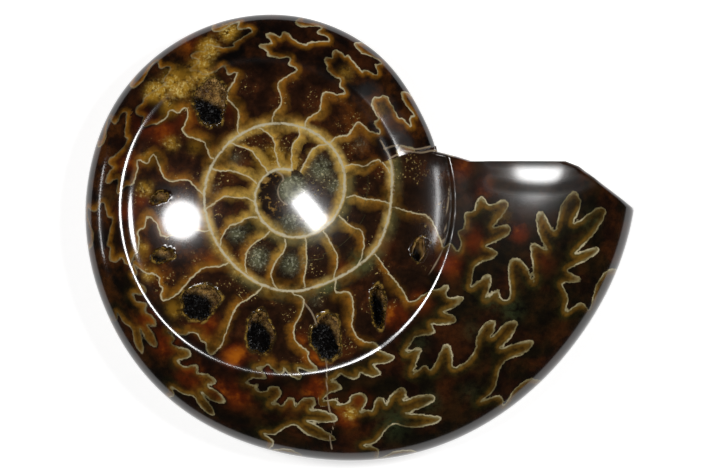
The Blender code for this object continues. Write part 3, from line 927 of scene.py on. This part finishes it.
# %% Lines on top
murk = mask(
    tree, (cloud, 0.3, 0.6, 0.4, 1.0), (speck, 0.3, 0.65, 0.6, 1.15), (at["depth"], 0.4, 2.0, 0.42, 1.15)
)
murky = {0: 1.0, 6: body, 7: murk}
murky = add_node(tree, "Mix", murky, data_type="RGBA", blend_type="MULTIPLY")
seam_line = (crinkled["seam"], 0.25, 0.05), (at["seam_near"], 1.0, 0.7)
wall_line = (crinkled["wall"], 0.42, 0.12), (at["wall_near"], 2.2, 1.4)
tip = leaf_side, (at["open"], 0.25, -0.2), (at["seam_near"], 0.7, 0.2), (at["wall_near"], 1.0, 2.0)
line_layers = (
    ("#7c2e08", orange, (cloud, 0.3, 0.55, 0.2, 0.85), (at["seam_near"], 0, 1)),
    ("#b8650f", orange, (cloud, 0.45, 0.62), (soft, 0.4, 0.6), (at["seam_near"], 0, 1)),
    ("#8a6318", gold, (speck, 0.3, 0.5, 0.3, 0.9)),
    ("#b88c2c", gold, (cloud, 0.4, 0.58), (speck, 0.35, 0.55)),
    ("#e0c878", gold, (spark, 0.5, 0.62), (cloud, 0.45, 0.6)),
    ("#3c2c10", (at["hollow"], 1.2, 1.02), (cloud, 0.3, 0.5)),
    ("#a8863c", (at["hollow"], 1.2, 1), (speck, 0.48, 0.62)),
    ("#a8957a", (at["vein"], 0.3, 0.08, 0, 0.8)),
    ("#9c9066", *tip, (cloud, 0.35, 0.55, 0, 0.75), (left_flank, 0, 1, 1, 0.3)),
    ("#8c8058", *seam_line, on_flank, (cloud, 0.3, 0.55, 0.4, 1), (left_flank, 0, 1, 1, 0.35)),
    ("#c4b894", *seam_line, on_flank, (cloud, 0.45, 0.6), (left_flank, 0, 1, 1, 0.2)),
    ("#d0c29a", *seam_line, in_dish, (cloud, 0.3, 0.5, 0.6, 1)),
    ("#d4c9a8", *wall_line, (speck, 0.3, 0.5, 0.45, 1)),
)
colour = covered(tree, murky, line_layers)
print("line layers", len(line_layers))

# %% [markdown]
# ## Polish
# Agate and calcite polished to a wet gloss: an IOR of about 1.54, and a clear coat that mirrors
# the lamps. Where the polish is dull, the coat is thin.

# %% Polish
bump = add_node(tree, "Bump", {"Height": speck, "Strength": 0.06, "Distance": 0.0002})
gloss = {
    "Base Color": colour, "Normal": bump, "IOR": 1.54, "Specular IOR Level": 0.12,
    "Roughness": mask(tree, (at["dull"], 0, 1, 0.16, 0.45)), "Coat IOR": 1.5,
    "Coat Weight": mask(tree, (at["dull"], 0, 1, 1, 0.05)), "Coat Roughness": 0.1,
}
shader = add_node(tree, "BsdfPrincipled", gloss)
add_node(tree, "OutputMaterial", {"Surface": shader})
mesh.materials.append(polished)
print("material", polished.name, "with", len(tree.nodes), "nodes")

# %% [markdown]
# ## Crystals in the hollows
# Each lining is part of a sphere laid against the wall of the hollow, and small six-sided calcite
# cones stand on it. Shaded flat, their faces catch the light one by one. Each vertex keeps how
# deep it lies, less on one side, as painted shade: darker deep in the hollow, lighter on that side.

# %% Crust of crystals
CRYSTAL_SIZE_MM = (0.28, 0.62)
# Crystals for each square millimetre of long side times short side, in a hollow 5 mm deep
CRYSTAL_COUNT = 26
LINING_THICKNESS = 0.25 * MM
# Painted shade darkens the crust by depth, but less in the first and widest hollow
PAINTED_SHADE_BY_DEPTH, PAINTED_SHADE_IN_FIRST = 0.6, 0.4


def hollow_point(hollow, share, around, lift_off):
    """A point over the wall of a hollow, by share of the way to its edge and the way round."""
    (mx, my), long_side, short_side, depth, turn = hollow
    size = share * raggedness(hollow, around) * MM
    u, v = long_side * size * math.cos(around), short_side * size * math.sin(around)
    c, s = math.cos(math.radians(turn)), math.sin(math.radians(turn))
    x, y = mx * MM + u * c - v * s, my * MM + u * s + v * c
    fall = depth * MM * math.sqrt(max(1 - share**3, 0.0))
    return Vector((x, y, float(dish_height(x, y)) - fall + lift_off))


def crystal_crust(number, hollow):
    """A lining with pointed crystals, as one mesh at the place of its CAD solid."""
    (mx, my), long_side, short_side, hollow_depth, _ = hollow
    rng = np.random.default_rng(20 + number)
    bm = bmesh.new()
    bmesh.ops.create_icosphere(bm, subdivisions=4, radius=1.0)
    upper = [vert for vert in bm.verts if vert.co.z > 0.02]
    bmesh.ops.delete(bm, geom=upper, context="VERTS")
    for vert in bm.verts:
        share = min(1.0, math.acos(min(1.0, max(-1.0, -vert.co.z))) / (math.pi / 2))
        around = math.atan2(vert.co.y, vert.co.x)
        vert.co = hollow_point(hollow, share * 0.985, around, (0.05 + 0.12 * rng.random()) * MM)
    bmesh.ops.recalc_face_normals(bm, faces=bm.faces[:])
    middle = Vector((mx * MM, my * MM, 4 * MM))
    bm.faces.ensure_lookup_table()
    if (middle - bm.faces[0].calc_center_median()).dot(bm.faces[0].normal) < 0:
        bmesh.ops.reverse_faces(bm, faces=bm.faces[:])
    spots = [(face.calc_center_median(), face.normal.copy()) for face in bm.faces]
    bmesh.ops.solidify(bm, geom=bm.faces[:] + bm.edges[:] + bm.verts[:], thickness=LINING_THICKNESS)
    count = int(CRYSTAL_COUNT * long_side * short_side * (hollow_depth / 5))
    for index in rng.choice(len(spots), min(count, len(spots)), replace=False):
        foot, normal = spots[index]
        size = rng.uniform(*CRYSTAL_SIZE_MM) * MM * min(1.0, short_side / 3.0)
        lean = Vector(rng.uniform(-0.5, 0.5, 3)) + normal * 1.2
        tilt = lean.to_track_quat("Z", "Y").to_matrix().to_4x4()
        spin = Matrix.Rotation(rng.uniform(0, math.tau), 4, "Z")
        ends = {"radius1": size, "radius2": size * rng.uniform(0.1, 0.5)}
        height, stand = size * rng.uniform(1.6, 2.6), Matrix.Translation(foot) @ tilt @ spin
        bmesh.ops.create_cone(bm, cap_ends=True, segments=6, depth=height, matrix=stand, **ends)
    bmesh.ops.translate(bm, vec=COIL_AXIS, verts=bm.verts)
    crust_mesh = mesh_from(bm, f"crystals_{number}")
    corners = np.array([vert.co for vert in crust_mesh.vertices]) / MM
    # Painted shade: darker the deeper a vertex lies, and lighter towards one side of the hollow
    below = corners[:, 2].max() - corners[:, 2]
    below = below * (PAINTED_SHADE_IN_FIRST if number == 1 else PAINTED_SHADE_BY_DEPTH)
    across, up = (corners[:, :2] - corners[:, :2].mean(0)).T
    lit_side = across * 0.7 + up * 1.1
    painted_shade = crust_mesh.attributes.new("painted_shade", "FLOAT", "POINT")
    painted_shade.data.foreach_set("value", (below - lit_side).astype(np.float32))
    crust = put_in_scene(f"crystals_{number}", crust_mesh)
    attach(crust, "root")
    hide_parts(f"crystal_crust_{number}")
    return crust


crusts = [crystal_crust(number + 1, hollow) for number, hollow in enumerate(HOLLOWS_MM)]
print("crystals", sum(len(crust.data.polygons) for crust in crusts), "faces")

# %% [markdown]
# ## Brown calcite crystals
# Honey brown calcite with pale sugary grains, and painted shade that turns it near black deep down
# in the hollows. The stain is noise about a millimetre wide, so neighbouring crystals differ.

# %% Material of the crystals
calcite, tree = new_material("brown_calcite_crystals")
place = add_node(tree, "TexCoord").outputs["Object"]
stain = add_node(tree, "TexNoise", {"Vector": place, "Scale": 500.0, "Detail": 4.0})
sugar = add_node(tree, "TexVoronoi", {"Vector": place, "Scale": 1500.0})
painted_shade = add_node(tree, "Attribute", attribute_name="painted_shade")
calcite_layers = (
    ("#c09858", (stain.outputs["Fac"], 0.35, 0.7)),
    ("#d8bc80", (sugar.outputs["Distance"], 0.25, 0.02, 0.0, 0.5)),
    # Painted shade: near black where the crust lies deep in the hollow
    ("#060302", (painted_shade.outputs["Fac"], 0.6, 3.4)),
)
colour = covered(tree, srgb("#5a3c1a"), calcite_layers)
gloss = {"Base Color": colour, "Roughness": 0.45, "Specular IOR Level": 0.3}
shader = add_node(tree, "BsdfPrincipled", gloss)
add_node(tree, "OutputMaterial", {"Surface": shader})
for crust in crusts:
    crust.data.materials.append(calcite)
print("material", calcite.name, "with", len(tree.nodes), "nodes")

# %% [markdown]
# ## White table
# White paper with a glow of its own, so that only a faint shadow stays, as in the photograph.

# %% Floor
TABLE_GLOW = 0.62
bm = bmesh.new()
bmesh.ops.create_grid(bm, x_segments=1, y_segments=1, size=1.5)
bmesh.ops.translate(bm, vec=(0, 0, -0.1 * MM), verts=bm.verts)
floor_mesh = mesh_from(bm, "table")
table = put_in_scene("table", floor_mesh)
paper, tree = new_material("white_paper")
place = add_node(tree, "TexCoord").outputs["Object"]
fibre = add_node(tree, "TexNoise", {"Vector": place, "Scale": 400.0, "Detail": 2.0})
greys = {0: fibre.outputs["Fac"], 6: srgb("#f4f4f4"), 7: srgb("#fbfbfb")}
colour = add_node(tree, "Mix", greys, data_type="RGBA")
glow = {"Emission Color": srgb("#ffffff"), "Emission Strength": TABLE_GLOW}
shader = add_node(tree, "BsdfPrincipled", {"Base Color": colour, "Roughness": 0.9, **glow})
add_node(tree, "OutputMaterial", {"Surface": shader})
floor_mesh.materials.append(paper)
print("material", paper.name)

# %% [markdown]
# ## Lamps
# Two soft boxes and a thin strip stand in a dark room. The dish is a hollow mirror, so the bright
# patch in it tells where each lamp stands.

# %% Lamps
def lamp(name, shape, azimuth, from_vertical, distance, width, depth, power, roll=0.0):
    """A soft box that faces the fossil, placed by its direction."""
    data = bpy.data.lights.new(name, "AREA")
    data.shape = shape
    data.size, data.size_y, data.energy = width, depth, power
    light = put_in_scene(name, data)
    lean, a = math.radians(from_vertical), math.radians(azimuth)
    flat = math.sin(lean) * distance
    light.location = (flat * math.cos(a), flat * math.sin(a), math.cos(lean) * distance)
    aim = (Vector((0, 0, 0.01)) - light.location).to_track_quat("-Z", "Y").to_matrix()
    light.rotation_euler = (aim @ Matrix.Rotation(math.radians(roll), 3, "Z")).to_euler()


lamp("right_soft_box", "ELLIPSE", 15, 27, 0.7, 0.16, 0.17, 1.9)
lamp("left_soft_box", "RECTANGLE", 168, 18.5, 0.7, 0.155, 0.075, 1.5, 52)
lamp("far_left_strip", "RECTANGLE", 178, 66, 0.8, 0.30, 0.012, 0.3)
world = bpy.data.worlds.new("dark_room")
world.use_nodes = True
background = world.node_tree.nodes["Background"].inputs
background["Color"].default_value = srgb("#8c8c90")
background["Strength"].default_value = 0.1
bpy.context.scene.world = world
bpy.context.scene.view_settings.view_transform = "Standard"
print("lamps", [light.name for light in bpy.data.lights])

# %% [markdown]
# ## Camera
# The camera looks straight down from far off with a long lens, as for a catalogue.

# %% Camera
FRAME_WIDTH = 166 * MM
CAMERA_DISTANCE = 0.9
SENSOR_MM = 36
camera_data = bpy.data.cameras.new("catalogue_camera")
camera_data.sensor_width = SENSOR_MM
camera_data.lens = SENSOR_MM * CAMERA_DISTANCE / FRAME_WIDTH
camera = put_in_scene("catalogue_camera", camera_data)
camera.location = (-1.3 * MM, 0.4 * MM, CAMERA_DISTANCE + 12 * MM)
bpy.context.scene.camera = camera
print("lens", round(camera_data.lens), "mm")
